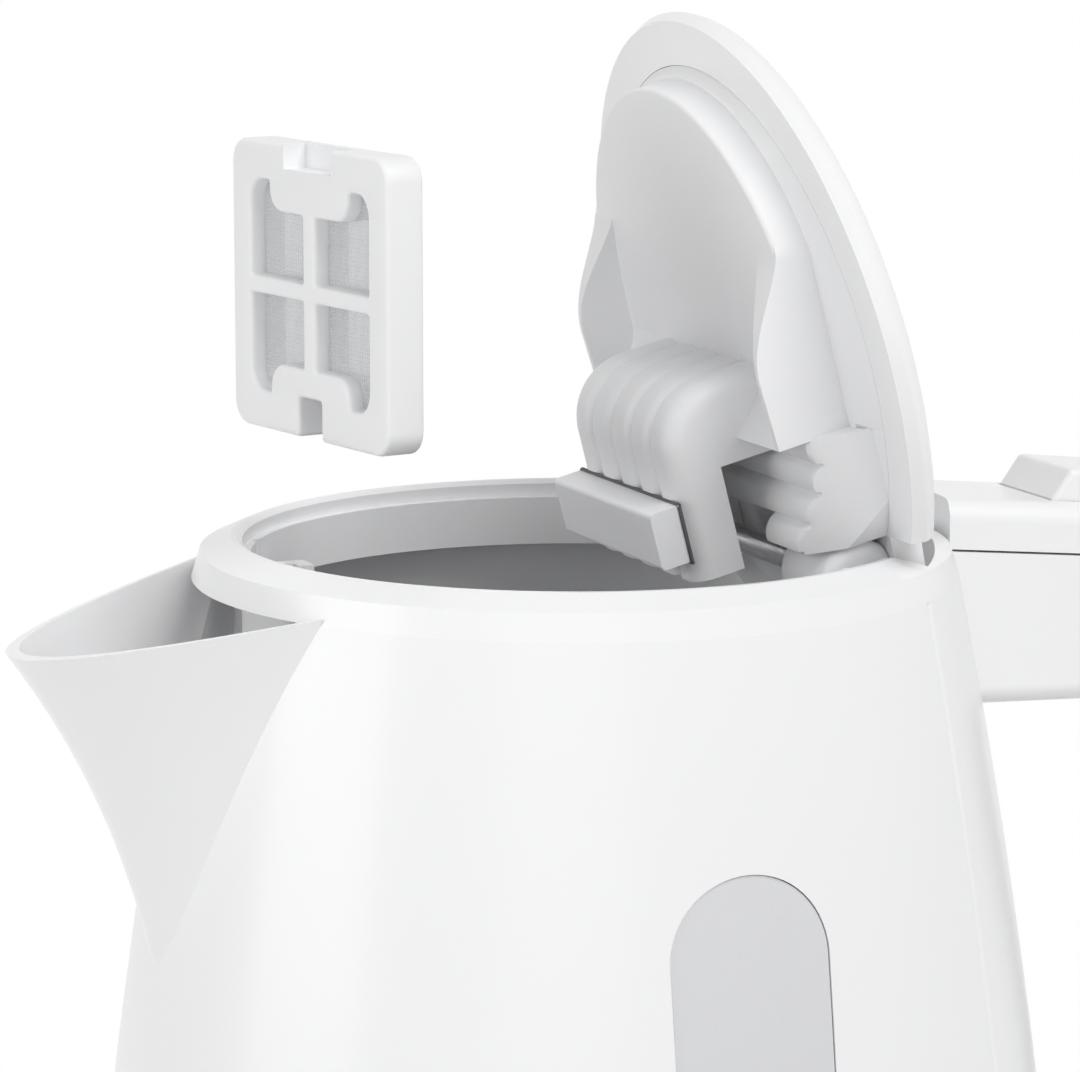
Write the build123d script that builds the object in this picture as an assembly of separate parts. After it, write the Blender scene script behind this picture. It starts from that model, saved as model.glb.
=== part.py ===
from build123d import *
import math
import os

# Electric jug kettle with its lid open and its pouring filter lifted out, on a round power base.
# Millimetres. +Z is up, the spout points to -X and the handle to +X. The origin is on the table,
# on the axis that the jug turns about on its base.

# Fits
rest_gap = 0.3
slide_gap = 0.3
pin_gap = 0.05
seam = 0.35

# Power base
base_r = 79.5
base_rim_z = 14.3
base_wall = 2.2
plateau_r = 62.0
plateau_z = 20.3
foot_h = 2.0
foot_r = 7.0
foot_pcd_r = 62.0
foot_count = 4
foot_pocket = 0.6
plate_t = 2.0
post_r = 15.5
post_h = 13.0
post_flange_r = 24.0
pin_hole_r = 3.6
ring_slot_r = 9.5
ring_slot_w = 2.4
cord_bore_r = 2.6
bush_wall = 1.4

# Jug body: one arc from the rim to the foot
body_h = 192.0
rim_r = 55.3
belly_drop = 80.0
belly_r = 68.8
jug_foot_r = 77.5
wall = 3.0
collar_h = 6.0

# Spout: a parabola carried down along the keel
spout_tip_x = -86.5
spout_tip_drop = 12.4
spout_top_slope = 0.2
spout_focus = 17.9
spout_depth = 46.0
spout_wall = 2.3
keel_foot_drop = 59.0
keel_mid_drop = 30.0
keel_mid_x = -75.8

# Collar round the opening
mouth_r = 49.0
ridge_r = 50.7
ridge_land = 0.8
bevel_drop = 2.0
lip_drop = 2.6
sleeve_r = 47.8
sleeve_t = 2.2
sleeve_drop = 10.0

# Water windows, one on each side
window_w = 24.0
window_top_drop = 38.0
window_h = 104.0
window_sink = 0.3
window_flange = 3.0
window_flange_t = 1.6

# Heater and underside
ledge_w = 6.0
ledge_t = 2.4
heater_drop_from_foot = 37.0
seal_t = 1.5
heater_t = 1.2
element_r = 46.0
element_w = 7.0
element_h = 6.0
element_sweep = 300.0
tail_r = 2.2
tail_h = 9.0
cover_rise = 8.3
cover_t = 2.0
socket_wall = 3.6
socket_flange_r = 30.0
socket_flange_t = 2.4
socket_top_t = 2.0

# Handle: flat-topped beam, grip and foot round the finger gap
handle_w = 26.0
handle_top_rise = 3.0
handle_droop = 5.4
beam_h = 31.5
handle_reach = 128.0
grip_t = 26.0
handle_foot_drop = 152.0
handle_foot_h = 24.0
handle_round = 3.0
handle_bend = 34.0
handle_heel = 30.0
gap_bend = 20.0
gap_taper = 0.4
panel_angle = 50.0
panel_t = 1.5
panel_foot_drop = 176.0
panel_round = 1.2
cover_depth = 7.4

# Lid release button
button_x = 74.5
button_l = 25.0
button_w = 18.0
button_rise = 4.6
button_stroke = 2.5
button_depth = 4.0

# Power switch lever under the foot of the handle
switch_r = 4.2
switch_w = 13.0
switch_l = 21.0
switch_x = 101.0

# Lid and its hinge, drawn shut and then opened
hinge_x = 31.0
hinge_drop = 4.5
lid_open = 75.5
lid_r = 50.2
lid_edge_rise = 2.0
lid_crown = 7.2
lid_wall = 2.2
flange_gap = 0.3
step_r = 42.6
pad_drop = 6.0
pad_r = 33.6
pad_x = -8.5
lump_back_x = 10.0
cheek_y = 28.0
cheek_t = 4.6
cheek_drop = 13.0
cheek_front_x = -20.0
arm_w = 36.6
arm_front_x = -0.8
arm_drop = 23.6
arm_bend_r = 9.5
arm_leg_t = 7.8
arm_wall = 12.6
arm_back_x = 27.4
flute_count = 4
flute_r = 1.3
bar_w = 8.6
bar_t = 4.7
bar_x = 15.2
knuckle_r = 6.3
knuckle_in = 19.0
knuckle_out = 34.0
hinge_pin_r = 2.0
boss_r = 6.8
boss_in = 38.4
boss_out = 43.4
lid_tail_w = 70.8
well_end_r = 8.4
well_gap = 0.6

# Pouring filter behind the spout
filter_w = 50.0
filter_h = 42.0
filter_t = 6.0
filter_x = -38.5
filter_top_drop = 8.0
filter_lift = 66.0
filter_border = 5.4
filter_bar_w = 4.6
filter_bar_h = 3.4
mesh_t = 0.4
mesh_lap = 1.2
rail_t = 2.4
rail_lap = 2.2

jug_z = base_rim_z + rest_gap
rim_z = jug_z + body_h
hinge_z = rim_z - hinge_drop
hinge_axis = Axis((hinge_x, 0, hinge_z), (0, 1, 0))


def arc_circle(p, q, s):
    """Centre and radius of the circle through three points of a profile."""
    ax, ay = p
    bx, by = q
    cx, cy = s
    d = 2 * (ax * (by - cy) + bx * (cy - ay) + cx * (ay - by))
    a2 = ax * ax + ay * ay
    b2 = bx * bx + by * by
    c2 = cx * cx + cy * cy
    ux = (a2 * (by - cy) + b2 * (cy - ay) + c2 * (ay - by)) / d
    uy = (a2 * (cx - bx) + b2 * (ax - cx) + c2 * (bx - ax)) / d
    return ux, uy, math.hypot(ax - ux, ay - uy)


body_arc = arc_circle((rim_r, rim_z), (belly_r, rim_z - belly_drop), (jug_foot_r, jug_z))


def body_radius(z):
    """Outside radius of the jug at a height."""
    cx, cz, r = body_arc
    return cx + math.sqrt(r * r - (z - cz) ** 2)


def lathe(points, angle=360.0):
    """Turn a closed profile of (radius, height) points about the jug's axis."""
    face = Plane.XZ * make_face(Polyline(*points, close=True))
    return revolve(face, Axis.Z, angle)


def body_form(inset, low, high):
    """The jug's outside form, drawn in by an inset, between two heights."""
    mid = (low + high) / 2
    b = (body_radius(low) - inset, low)
    m = (body_radius(mid) - inset, mid)
    c = (body_radius(high) - inset, high)
    edges = [Line((0, low), b), ThreePointArc(b, m, c), Line(c, (0, high)), Line((0, high), (0, low))]
    return revolve(Plane.XZ * make_face(edges), Axis.Z)


def side_plate(face, y0, y1):
    """Extrude a face drawn in X and Z from y0 to y1."""
    return Pos(0, y1, 0) * extrude(Plane.XZ * face, y1 - y0)


def barrel(radius, y0, y1, x=hinge_x, z=hinge_z):
    """Round bar along Y."""
    return Pos(x, (y0 + y1) / 2, z) * Rot(90, 0, 0) * Cylinder(radius, y1 - y0)


def block(x0, x1, y0, y1, z0, z1):
    """Rectangular cutter between two corners."""
    return Pos((x0 + x1) / 2, (y0 + y1) / 2, (z0 + z1) / 2) * Box(x1 - x0, y1 - y0, z1 - z0)


# Power base
base_low = foot_h
skirt_r = base_r - 2.0
base_outer = lathe([
    (0, base_low), (base_r - 0.8, base_low), (base_r, base_low + 0.8), (skirt_r, base_rim_z - 2.2),
    (skirt_r - 2.2, base_rim_z), (plateau_r + 2.0, base_rim_z), (plateau_r, base_rim_z + 2.0),
    (plateau_r - 1.6, plateau_z), (0, plateau_z)])
base_hollow = lathe([
    (0, base_low - 1), (base_r - base_wall, base_low - 1), (base_r - base_wall, base_low + plate_t),
    (skirt_r - base_wall, base_rim_z - 3.2), (skirt_r - 3.2, base_rim_z - base_wall),
    (plateau_r, base_rim_z - base_wall), (plateau_r - base_wall - 1.0, plateau_z - base_wall),
    (0, plateau_z - base_wall)])
cord_z = (base_low + plate_t + base_rim_z - base_wall) / 2
bush_r = cord_bore_r + bush_wall
bush_hole = Pos(base_r - 6, 0, cord_z) * Rot(0, 90, 0) * Cylinder(bush_r, 30)
base_cover = base_outer - base_hollow - Pos(0, 0, plateau_z) * Cylinder(post_r + slide_gap, 12) - bush_hole

base_plate = Pos(0, 0, base_low + plate_t / 2) * Cylinder(base_r - base_wall, plate_t)
feet = []
for i in range(foot_count):
    a = math.radians(45 + 360 * i / foot_count)
    spot = Pos(foot_pcd_r * math.cos(a), foot_pcd_r * math.sin(a), 0)
    foot = spot * Pos(0, 0, (foot_h + foot_pocket) / 2) * Cylinder(foot_r, foot_h + foot_pocket)
    low_edge = foot.edges().sort_by(Axis.Z)[0]
    feet.append(fillet(low_edge, 0.8))
    base_plate -= spot * Pos(0, 0, base_low + foot_pocket / 2) * Cylinder(foot_r, foot_pocket)
base_feet = Compound(children=feet)

bush_x0 = skirt_r - base_wall - 3.0
bush_x1 = base_r + 0.4
cord_bush = Pos((bush_x0 + bush_x1) / 2, 0, cord_z) * Rot(0, 90, 0) * (
    Cylinder(bush_r, bush_x1 - bush_x0) - Cylinder(cord_bore_r, bush_x1 - bush_x0 + 2))

flange_top = plateau_z - base_wall
post_top = plateau_z + post_h
post_low = base_low + plate_t
base_connector = lathe([
    (pin_hole_r, post_low + 2), (post_flange_r, post_low + 2), (post_flange_r, flange_top), (post_r, flange_top),
    (post_r, post_top - 1.2), (post_r - 1.2, post_top), (pin_hole_r, post_top)])
base_connector -= lathe([
    (ring_slot_r - ring_slot_w / 2, plateau_z), (ring_slot_r + ring_slot_w / 2, plateau_z),
    (ring_slot_r + ring_slot_w / 2, post_top + 1), (ring_slot_r - ring_slot_w / 2, post_top + 1)])
standoff = lathe([
    (pin_hole_r + 2, post_low), (post_flange_r - 4, post_low), (post_flange_r - 4, post_low + 2),
    (pin_hole_r + 2, post_low + 2)])
base_connector += standoff

contact_ring = lathe([
    (ring_slot_r + ring_slot_w / 2 - 0.8, plateau_z), (ring_slot_r + ring_slot_w / 2, plateau_z),
    (ring_slot_r + ring_slot_w / 2, post_top - 2), (ring_slot_r + ring_slot_w / 2 - 0.8, post_top - 2)])
contact_sleeve = lathe([
    (pin_hole_r - 0.7, post_low + 4), (pin_hole_r, post_low + 4), (pin_hole_r, post_top - 1),
    (pin_hole_r - 0.7, post_top - 1)])

# Round socket under the jug, which takes the base's post
cover_low = jug_z + cover_rise
cover_top = cover_low + cover_t
socket_bore = post_r + 1.4
socket_r = socket_bore + socket_wall
socket_roof = post_top + 1.6
jug_socket = lathe([
    (socket_bore, cover_low), (socket_r, cover_low), (socket_r, cover_top + rest_gap),
    (socket_flange_r, cover_top + rest_gap), (socket_flange_r, cover_top + rest_gap + socket_flange_t),
    (socket_r, cover_top + rest_gap + socket_flange_t), (socket_r, socket_roof + socket_top_t),
    (0, socket_roof + socket_top_t), (0, post_low + 6), (pin_hole_r - 1.5, post_low + 6),
    (pin_hole_r - 1.5, socket_roof), (ring_slot_r - 0.9, socket_roof), (ring_slot_r - 0.9, plateau_z + 2.5),
    (ring_slot_r, plateau_z + 2.5), (ring_slot_r, socket_roof), (socket_bore, socket_roof)])

# Jug body with its spout
body_top = rim_z - collar_h
spout_tip_z = rim_z - spout_tip_drop
keel_foot_z = rim_z - keel_foot_drop
keel_mid_z = rim_z - keel_mid_drop
keel_foot_x = -body_radius(keel_foot_z)
keel = arc_circle((spout_tip_x, spout_tip_z), (keel_mid_x, keel_mid_z), (keel_foot_x, keel_foot_z))


def keel_x(z):
    """X of the spout's keel at a height."""
    cx, cz, r = keel
    side = 1 if keel_mid_x > cx else -1
    return cx + side * math.sqrt(r * r - (z - cz) ** 2)


def spout_form(inset, high):
    """Spout solid: the same parabola at each height, its nose on the keel."""
    half = math.sqrt(spout_focus * spout_depth)
    sections = []
    levels = [keel_foot_z - 3.0, keel_foot_z + 12, keel_mid_z, spout_tip_z, high]
    for z in levels:
        x = keel_x(z) + inset
        nose = Bezier((x + spout_depth, half), (x - spout_depth, 0), (x + spout_depth, -half))
        chord = Line((x + spout_depth, -half), (x + spout_depth, half))
        sections.append(Pos(0, 0, z) * make_face([nose, chord]))
    return loft(sections)


spout_high = rim_z + 2.0
top_x0 = spout_tip_x - 30
top_x1 = 0.0
top_z = rim_z - spout_tip_drop
spout_cut = side_plate(make_face(Polyline(
    (top_x0, top_z + spout_top_slope * (top_x0 - spout_tip_x)),
    (top_x1, top_z + spout_top_slope * (top_x1 - spout_tip_x)),
    (top_x1, rim_z + 40), (top_x0, rim_z + 40), close=True)), -80, 80)
inner = body_form(wall, jug_z - 2, body_top + 2)
outer = body_form(0, jug_z, body_top)
spout_out = spout_form(0, spout_high) - spout_cut - block(-20, 40, -80, 80, jug_z, rim_z + 40)
spout_in = spout_form(spout_wall, spout_high) - block(-20, 40, -80, 80, jug_z, rim_z + 40)
ring_room = Pos(0, 0, rim_z - collar_h + 30) * Cylinder(body_radius(body_top) + 0.05, 60)
body_shell = outer + (spout_out - ring_room)
body_shell = body_shell - inner - spout_in

heater_ledge_z = jug_z + heater_drop_from_foot
ledge_r = body_radius(heater_ledge_z) - wall - ledge_w
lower_ledge_r = body_radius(cover_top) - wall - ledge_w
for z, r in ((heater_ledge_z, ledge_r), (cover_top, lower_ledge_r)):
    ledge = body_form(wall / 2, z, z + ledge_t)
    body_shell += ledge - Pos(0, 0, z) * Cylinder(r, 4 * ledge_t)

window_top = rim_z - window_top_drop
window_mid = window_top - window_h / 2


def window_cut(grow, side):
    """Round-ended prism through the wall on one side of the jug."""
    reach = jug_foot_r + 6
    slot = SlotOverall(window_h + 2 * grow, window_w + 2 * grow, rotation=90)
    prism = extrude(Plane.XZ * (Pos(0, window_mid) * slot), reach)
    return prism if side < 0 else mirror(prism, Plane.XZ)


windows = {}
window_low = window_mid - window_h / 2
for side in (-1, 1):
    body_shell -= window_cut(0, side)
    skin = body_form(window_sink, window_low - 8, window_top + 8) - body_form(wall, window_low - 9, window_top + 9)
    pane = skin & window_cut(-0.15, side)
    inside = body_form(wall + 0.05, window_low - 8, window_top + 8)
    inside -= body_form(wall + window_flange_t, window_low - 9, window_top + 9)
    flange = inside & window_cut(window_flange, side)
    neck = body_form(wall - 0.6, window_low - 8, window_top + 8)
    neck -= body_form(wall + 0.6, window_low - 9, window_top + 9)
    windows[side] = pane + flange + (neck & window_cut(-0.15, side))
window_near = windows[-1]
window_far = windows[1]

# Rear panel, let into the jug's back, and the handle that grows from it
panel_top = body_top
panel_low = rim_z - panel_foot_drop


def panel_form(inset, deep, half_angle, low, high):
    """Strip of the jug's skin round the back."""
    ring = body_form(inset, low, high) - body_form(deep, low - 1, high + 1)
    far = 3 * jug_foot_r
    a = math.radians(half_angle)
    wedge = make_face(Polyline((0, 0), (far * math.cos(a), far * math.sin(a)), (far * math.cos(a), -far * math.sin(a)),
                               close=True))
    return ring & Pos(0, 0, low - 2) * extrude(wedge, high - low + 4)


groove_angle = math.degrees(seam / body_radius(panel_low))
body_shell -= panel_form(-2.0, panel_t + 0.05, panel_angle + groove_angle, panel_low - seam, panel_top + 3)
panel = panel_form(0, panel_t, panel_angle, panel_low, panel_top)
long_edges = [e for e in panel.edges() if e.length > 0.8 * (panel_top - panel_low) and
              (e @ 0.5).X ** 2 + (e @ 0.5).Y ** 2 >
              (body_radius((panel_low + panel_top) / 2) - panel_t / 2) ** 2]
panel = fillet(long_edges, panel_round)

slope = math.tan(math.radians(handle_droop))
beam_x = body_radius(body_top)
beam_z = rim_z + handle_top_rise


def beam_top(x):
    """Height of the handle's flat top."""
    return beam_z - slope * (x - beam_x)


grip_in = handle_reach - grip_t
foot_top = rim_z - handle_foot_drop + handle_foot_h / 2
foot_low = rim_z - handle_foot_drop - handle_foot_h / 2
root_x = 20.0
bend_x = handle_reach - handle_bend
heel_x = handle_reach - handle_heel
outer_face = make_face([
    Line((root_x, foot_low), (root_x, beam_top(root_x))),
    Line((root_x, beam_top(root_x)), (bend_x, beam_top(bend_x))),
    Spline([(bend_x, beam_top(bend_x)), (handle_reach, rim_z - 42), (handle_reach - 7, (rim_z + foot_low) / 2 - 18),
            (heel_x, foot_low)], tangents=[(1, -slope), (-1, 0)]),
    Line((heel_x, foot_low), (root_x, foot_low))])
gap_top = beam_top(beam_x) - beam_h
gap_end = gap_top - slope * gap_taper * (grip_in - gap_bend - beam_x)
gap_start = gap_top - slope * gap_taper * (root_x - beam_x)
gap_heel = heel_x - grip_t + 3
gap_face = make_face([
    Line((root_x, foot_top), (root_x, gap_start)),
    Line((root_x, gap_start), (grip_in - gap_bend, gap_end)),
    Spline([(grip_in - gap_bend, gap_end), (grip_in, rim_z - 54), (grip_in - 6, (rim_z + foot_top) / 2 - 22),
            (gap_heel, foot_top)], tangents=[(1, -slope * gap_taper), (-1, 0)]),
    Line((gap_heel, foot_top), (root_x, foot_top))])
handle_face = outer_face - gap_face
handle_bar = side_plate(handle_face, -handle_w / 2, handle_w / 2)
rounding = [e for e in handle_bar.edges() if abs(abs((e @ 0.5).Y) - handle_w / 2) < 0.01 and
            abs(abs((e @ 0).Y) - handle_w / 2) < 0.01 and (e @ 0.5).X > root_x + 0.5]
handle_bar = fillet(rounding, handle_round)
handle_bar -= body_form(panel_t / 2, jug_z, body_top)
handle_bar -= Pos(0, 0, rim_z) * Cylinder(rim_r + 1.3, 80)

far_x = handle_reach + 30
cover_face = make_face(Polyline(
    (root_x, beam_top(root_x) - cover_depth), (far_x, beam_top(far_x) - cover_depth), (far_x, rim_z + 40),
    (root_x, rim_z + 40), close=True))
cover_zone = side_plate(cover_face, -40, 40)
shell_zone = Pos(0, 0, -seam) * cover_zone
handle_top = handle_bar & cover_zone
handle_shell = handle_bar - shell_zone

# Button pocket through the top cover, and the button
button_y = button_w / 2


def button_form(grow, low, high):
    """Wedge-fronted pad of the lid release, along the handle's top."""
    x0 = button_x - grow
    x1 = button_x + button_l + grow
    face = make_face(Polyline(
        (x0, beam_top(x0) - low), (x1, beam_top(x1) - low), (x1, beam_top(x1) + high), (x0 + 3.2, beam_top(x0) + high),
        (x0, beam_top(x0) + 0.2), close=True))
    return side_plate(face, -button_y - grow, button_y + grow)


lid_button = button_form(0, button_depth, button_rise)
top_edges = [e for e in lid_button.edges() if (e @ 0.5).Z > beam_top(button_x + button_l) + 0.6 * button_rise]
lid_button = fillet(top_edges, 1.0)
pocket = button_form(slide_gap, button_depth + button_stroke + 0.3, 12)
handle_top -= pocket

# Switch lever at the handle's foot, on a barrel along Y
switch_z = foot_low + 1.2
lever_face = make_face(Polyline(
    (switch_x - 2.6, switch_z - 2.6), (switch_x + 2.6, switch_z - 3.0), (switch_x + switch_l, switch_z - 6.0),
    (switch_x + switch_l, switch_z - 9.0), (switch_x + 2, switch_z - 7.2), (switch_x - 2.6, switch_z - 6.0), close=True))
lever_plate = side_plate(lever_face, -switch_w / 2, switch_w / 2)
switch_lever = barrel(switch_r, -switch_w / 2, switch_w / 2, switch_x, switch_z) + lever_plate
switch_nest = barrel(switch_r + slide_gap, -switch_w / 2 - slide_gap, switch_w / 2 + slide_gap, switch_x, switch_z)
handle_shell -= switch_nest

handle_shell = handle_shell + (panel - shell_zone)

# Collar
def rz(r, drop):
    """Profile point at a radius and a drop below the ridge."""
    return (r, rim_z - drop)


collar_foot_r = body_radius(body_top)
rib_r = body_radius(body_top) - wall - slide_gap
collar = lathe([
    rz(mouth_r, 0.6), rz(ridge_r - ridge_land, 0), rz(ridge_r, 0), rz(rim_r, bevel_drop), rz(collar_foot_r, collar_h),
    rz(rib_r, collar_h), rz(rib_r, collar_h + 3), rz(rib_r - 1.8, collar_h + 3), rz(rib_r - 1.8, collar_h),
    rz(sleeve_r + sleeve_t, collar_h), rz(sleeve_r + sleeve_t, sleeve_drop), rz(sleeve_r, sleeve_drop),
    rz(sleeve_r, lip_drop), rz(mouth_r, lip_drop)])
for side in (-1, 1):
    boss = barrel(boss_r, side * boss_in if side > 0 else side * boss_out, side * boss_out if side > 0 else side * boss_in)
    boss -= block(hinge_x - 20, hinge_x + 20, -60, 60, rim_z - 1.0, rim_z + 20)
    collar += boss & Pos(0, 0, rim_z) * Cylinder(rib_r - 0.3, 80)

well_y = boss_in - 0.2
lid_reach = math.hypot(lid_r - hinge_x, hinge_drop + lid_edge_rise) + well_gap
well_arc = ThreePointArc((-well_y, well_end_r), (0, lid_reach), (well_y, well_end_r))
well_face = make_face([
    well_arc, Line((well_y, well_end_r), (well_y, 0)), Line((well_y, 0), (-well_y, 0)),
    Line((-well_y, 0), (-well_y, well_end_r))])
well_plane = Plane(origin=(hinge_x, 0, hinge_z), x_dir=(0, 1, 0), z_dir=(0, 0, 1))
well = revolve(well_plane * well_face, hinge_axis)
collar -= well
hinge_pin = barrel(hinge_pin_r, -boss_out + 1.4, boss_out - 1.4)
collar -= barrel(hinge_pin_r, -boss_out + 1.4, boss_out - 1.4)

# Rails that hold the filter, hung from the collar behind the spout
filter_x0 = filter_x - filter_t / 2
filter_x1 = filter_x + filter_t / 2
filter_top_z = rim_z - filter_top_drop
filter_low_z = filter_top_z - filter_h
half_w = filter_w / 2
rail_top = rim_z - pad_drop - 2 * rest_gap
for side in (-1, 1):
    y_in = side * (half_w - rail_lap)
    y_out = side * (half_w + slide_gap + rail_t)
    rail = block(filter_x0 - slide_gap - rail_t, filter_x1 + slide_gap + rail_t, min(y_in, y_out), max(y_in, y_out),
                 filter_low_z - rail_t, rail_top)
    collar += rail & Pos(0, 0, rim_z) * Cylinder(sleeve_r + sleeve_t + 1.6, 160)
sill = block(filter_x0 - slide_gap - rail_t, filter_x1 + slide_gap + rail_t, -half_w, half_w,
             filter_low_z - rail_t, filter_low_z - slide_gap)
collar += sill
collar -= block(filter_x0 - slide_gap, filter_x1 + slide_gap, -half_w - slide_gap, half_w + slide_gap,
                filter_low_z - slide_gap, rim_z + 5)
throat_half = half_w - rail_lap
collar -= block(-rim_r - 5, filter_x1 + slide_gap + rail_t + 0.1, -throat_half, throat_half,
                filter_low_z, rim_z - collar_h)

# Heater
seal_top = heater_ledge_z
plate_r = ledge_r + ledge_w - 0.8
heater_seal = Pos(0, 0, seal_top - seal_t / 2) * (Cylinder(plate_r, seal_t) - Cylinder(ledge_r + 0.4, seal_t + 1))
heater_z = seal_top - seal_t
heater_plate = Pos(0, 0, heater_z - heater_t / 2) * Cylinder(plate_r, heater_t)
element_top = heater_z - heater_t
element_face = make_face([
    Line((element_r - element_w / 2, element_top), (element_r + element_w / 2, element_top)),
    Line((element_r + element_w / 2, element_top), (element_r + element_w / 2, element_top - element_h / 2)),
    ThreePointArc((element_r + element_w / 2, element_top - element_h / 2), (element_r, element_top - element_h),
                  (element_r - element_w / 2, element_top - element_h / 2)),
    Line((element_r - element_w / 2, element_top - element_h / 2), (element_r - element_w / 2, element_top))])
heating_element = Rot(0, 0, 30) * revolve(Plane.XZ * element_face, Axis.Z, element_sweep)
for a in (40.0, 30.0 + element_sweep - 10.0):
    tail = Pos(element_r * math.cos(math.radians(a)), element_r * math.sin(math.radians(a)),
               element_top - element_h / 2 - tail_h / 2)
    heating_element += tail * Cylinder(tail_r, tail_h)

bottom_r = lower_ledge_r + ledge_w - 0.8
bottom_cover = Pos(0, 0, cover_low + cover_t / 2) * (Cylinder(bottom_r, cover_t) - Cylinder(socket_r + slide_gap, cover_t + 1))

# Lid, drawn shut
edge_z = rim_z + lid_edge_rise
flange_z = rim_z + flange_gap
crown_z = rim_z + lid_crown
shoulder_r = lid_r - 2.4
shoulder_z = edge_z + 2.6
dome_rise = crown_z - shoulder_z
dome_r = (shoulder_r ** 2 + dome_rise ** 2) / (2 * dome_rise)
dome_mid = shoulder_r / 2
dome_mid_z = crown_z - dome_r + math.sqrt(dome_r ** 2 - dome_mid ** 2)
cover_edges = [
    Line((0, flange_z + lid_wall + 1.2), (step_r - 3, flange_z + lid_wall + 1.2)),
    Line((step_r - 3, flange_z + lid_wall + 1.2), (step_r, flange_z + lid_wall)),
    Line((step_r, flange_z + lid_wall), (step_r, flange_z)),
    Line((step_r, flange_z), (lid_r - 0.9, flange_z)),
    Line((lid_r - 0.9, flange_z), (lid_r, edge_z)),
    ThreePointArc((lid_r, edge_z), (lid_r - 0.7, edge_z + 1.5), (shoulder_r, shoulder_z)),
    ThreePointArc((shoulder_r, shoulder_z), (dome_mid, dome_mid_z), (0, crown_z)),
    Line((0, crown_z), (0, flange_z + lid_wall + 1.2))]
lid_cover = revolve(Plane.XZ * make_face(cover_edges), Axis.Z)
ear_y = lid_tail_w / 2
for side in (-1, 1):
    y0, y1 = sorted((side * ear_y, side * 2 * lid_r))
    lid_cover -= block(hinge_x - 6, 2 * lid_r, y0, y1, rim_z - 5, rim_z + 20)

pad_z = rim_z - pad_drop
liner_top = flange_z + lid_wall
plug = loft([
    Pos(0, 0, flange_z) * Circle(step_r - 0.1).face(),
    Pos(pad_x * 0.62, 0, flange_z - 2.2) * Circle(pad_r + 0.36 * (step_r - pad_r)).face(),
    Pos(pad_x, 0, pad_z) * Circle(pad_r).face()])
plug -= block(lump_back_x, 80, -60, 60, rim_z - 40, flange_z - 0.01)
disc = Pos(0, 0, (flange_z + liner_top) / 2) * Cylinder(step_r - 0.1, liner_top - flange_z)
lid_liner = plug + disc
cheek_face = make_face([
    Line((cheek_front_x, pad_z + 1), (cheek_front_x, pad_z)),
    Spline([(cheek_front_x, pad_z), (cheek_front_x * 0.66, rim_z - 0.72 * cheek_drop),
            (cheek_front_x * 0.36, rim_z - 0.95 * cheek_drop), (0, rim_z - cheek_drop)]),
    Line((0, rim_z - cheek_drop), (lump_back_x, rim_z - cheek_drop + 0.6)),
    Line((lump_back_x, rim_z - cheek_drop + 0.6), (lump_back_x, flange_z + 0.5)),
    Line((lump_back_x, flange_z + 0.5), (cheek_front_x, pad_z + 1))])
for side in (-1, 1):
    y0, y1 = sorted((side * cheek_y, side * (cheek_y + cheek_t)))
    lid_liner += side_plate(cheek_face, y0, y1)
    k0, k1 = sorted((side * knuckle_in, side * knuckle_out))
    knuckle = barrel(knuckle_r, k0, k1)
    rim_room = Pos(0, 0, flange_z + 15) * (Cylinder(2 * lid_r, 30) - Cylinder(step_r - 0.1, 40))
    lid_liner += knuckle - block(0, 90, -60, 60, liner_top, rim_z + 30) - rim_room
lid_liner -= barrel(hinge_pin_r + pin_gap, -60, 60)

arm_low = rim_z - arm_drop
leg_top = arm_low + arm_leg_t
arm_in_x = arm_front_x + arm_wall
arm_face = make_face(Polyline(
    (arm_front_x, pad_z), (arm_front_x, arm_low), (arm_back_x, arm_low), (arm_back_x, leg_top), (arm_in_x, leg_top),
    (arm_in_x, pad_z), close=True))
bend = arm_face.vertices().sort_by(Axis.X)[:2].sort_by(Axis.Y)[0]
arm_face = fillet(bend, arm_bend_r)
lid_arm = side_plate(arm_face, -arm_w / 2, arm_w / 2)
pitch = arm_w / (flute_count + 1)
for i in range(flute_count):
    y = -arm_w / 2 + pitch * (i + 1)
    path = FilletPolyline((arm_front_x, y, pad_z + 2), (arm_front_x, y, arm_low), (bar_x - 0.4, y, arm_low), radius=arm_bend_r)
    section = Plane(origin=path @ 0, z_dir=path % 0) * Circle(flute_r)
    lid_arm -= sweep(section, path)
lid_arm -= barrel(knuckle_r, -60, 60)
lid_liner -= block(arm_front_x, arm_in_x, -arm_w / 2, arm_w / 2, arm_low, pad_z)

arm_bar = block(bar_x, bar_x + bar_w, -arm_w / 2, arm_w / 2, arm_low - bar_t, arm_low)
bar_edges = arm_bar.edges().filter_by(Axis.Y).sort_by(Axis.Z)[:2]
arm_bar = fillet(bar_edges, 0.8)

lid_pieces = {"lid_cover": lid_cover, "lid_liner": lid_liner, "lid_arm": lid_arm, "lid_arm_bar": arm_bar}
lid_pieces = {name: piece.rotate(hinge_axis, lid_open) for name, piece in lid_pieces.items()}

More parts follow.
